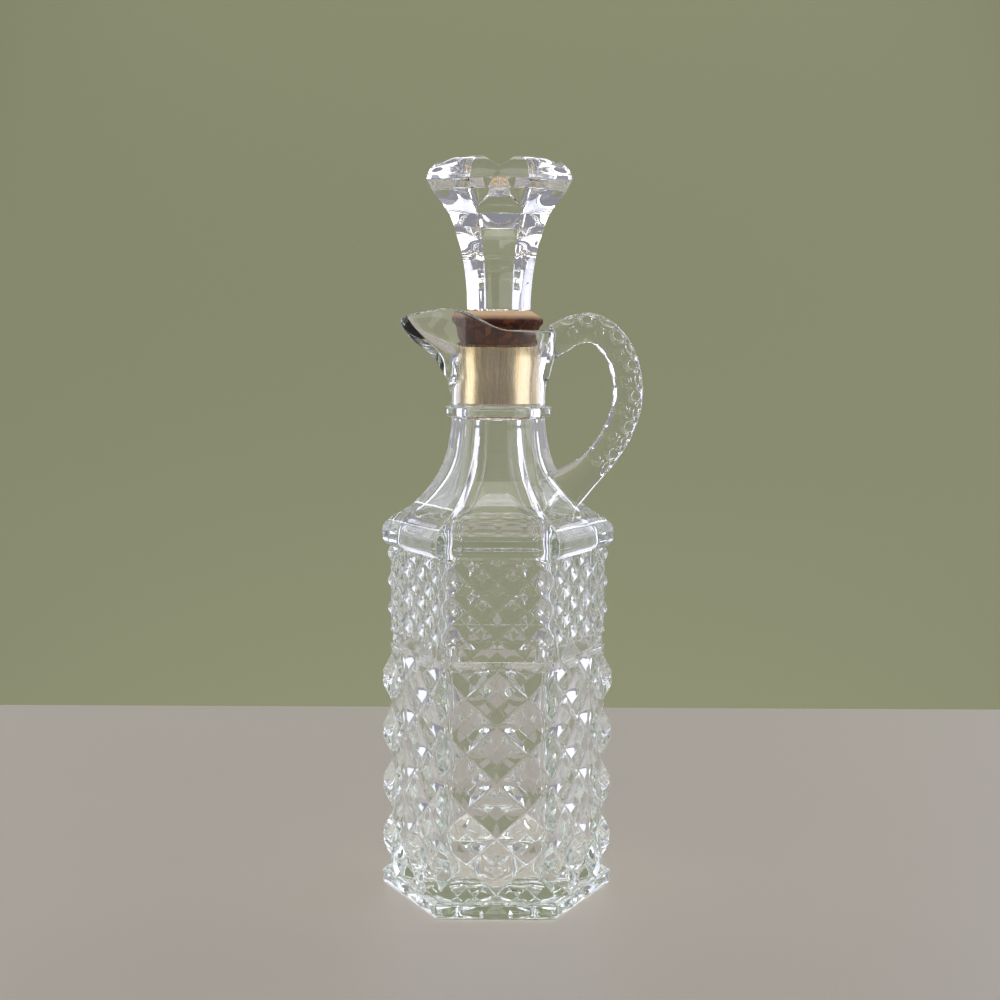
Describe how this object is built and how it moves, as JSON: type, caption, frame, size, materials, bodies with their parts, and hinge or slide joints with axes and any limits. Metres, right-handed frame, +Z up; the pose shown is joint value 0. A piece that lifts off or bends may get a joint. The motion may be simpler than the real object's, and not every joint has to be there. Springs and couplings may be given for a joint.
{
  "type": "glass cruet with stopper",
  "caption": "Six-sided pressed glass cruet with cut diamond bands, pouring lip, scalloped handle, cork-held glass stopper and a metal neck sleeve.",
  "frame": {"origin": "middle of the flat underside, where the cruet stands on the table", "axes": "+Z up; the handle points along +X and the pouring lip along -X; flat faces look along -Y and +Y"},
  "size_m": [0.0781, 0.061, 0.2192],
  "materials": {
    "body_glass": "clear pressed soda-lime glass, polished",
    "stopper_glass": "clear pressed soda-lime glass, polished",
    "cork": "stained natural cork, matt",
    "sleeve_metal": "thin pale gold sheet, satin"
  },
  "bodies": {
    "root": {"cruet": "body_glass", "stopper": "stopper_glass", "cork": "cork", "sleeve": "sleeve_metal"}
  },
  "joints": []
}
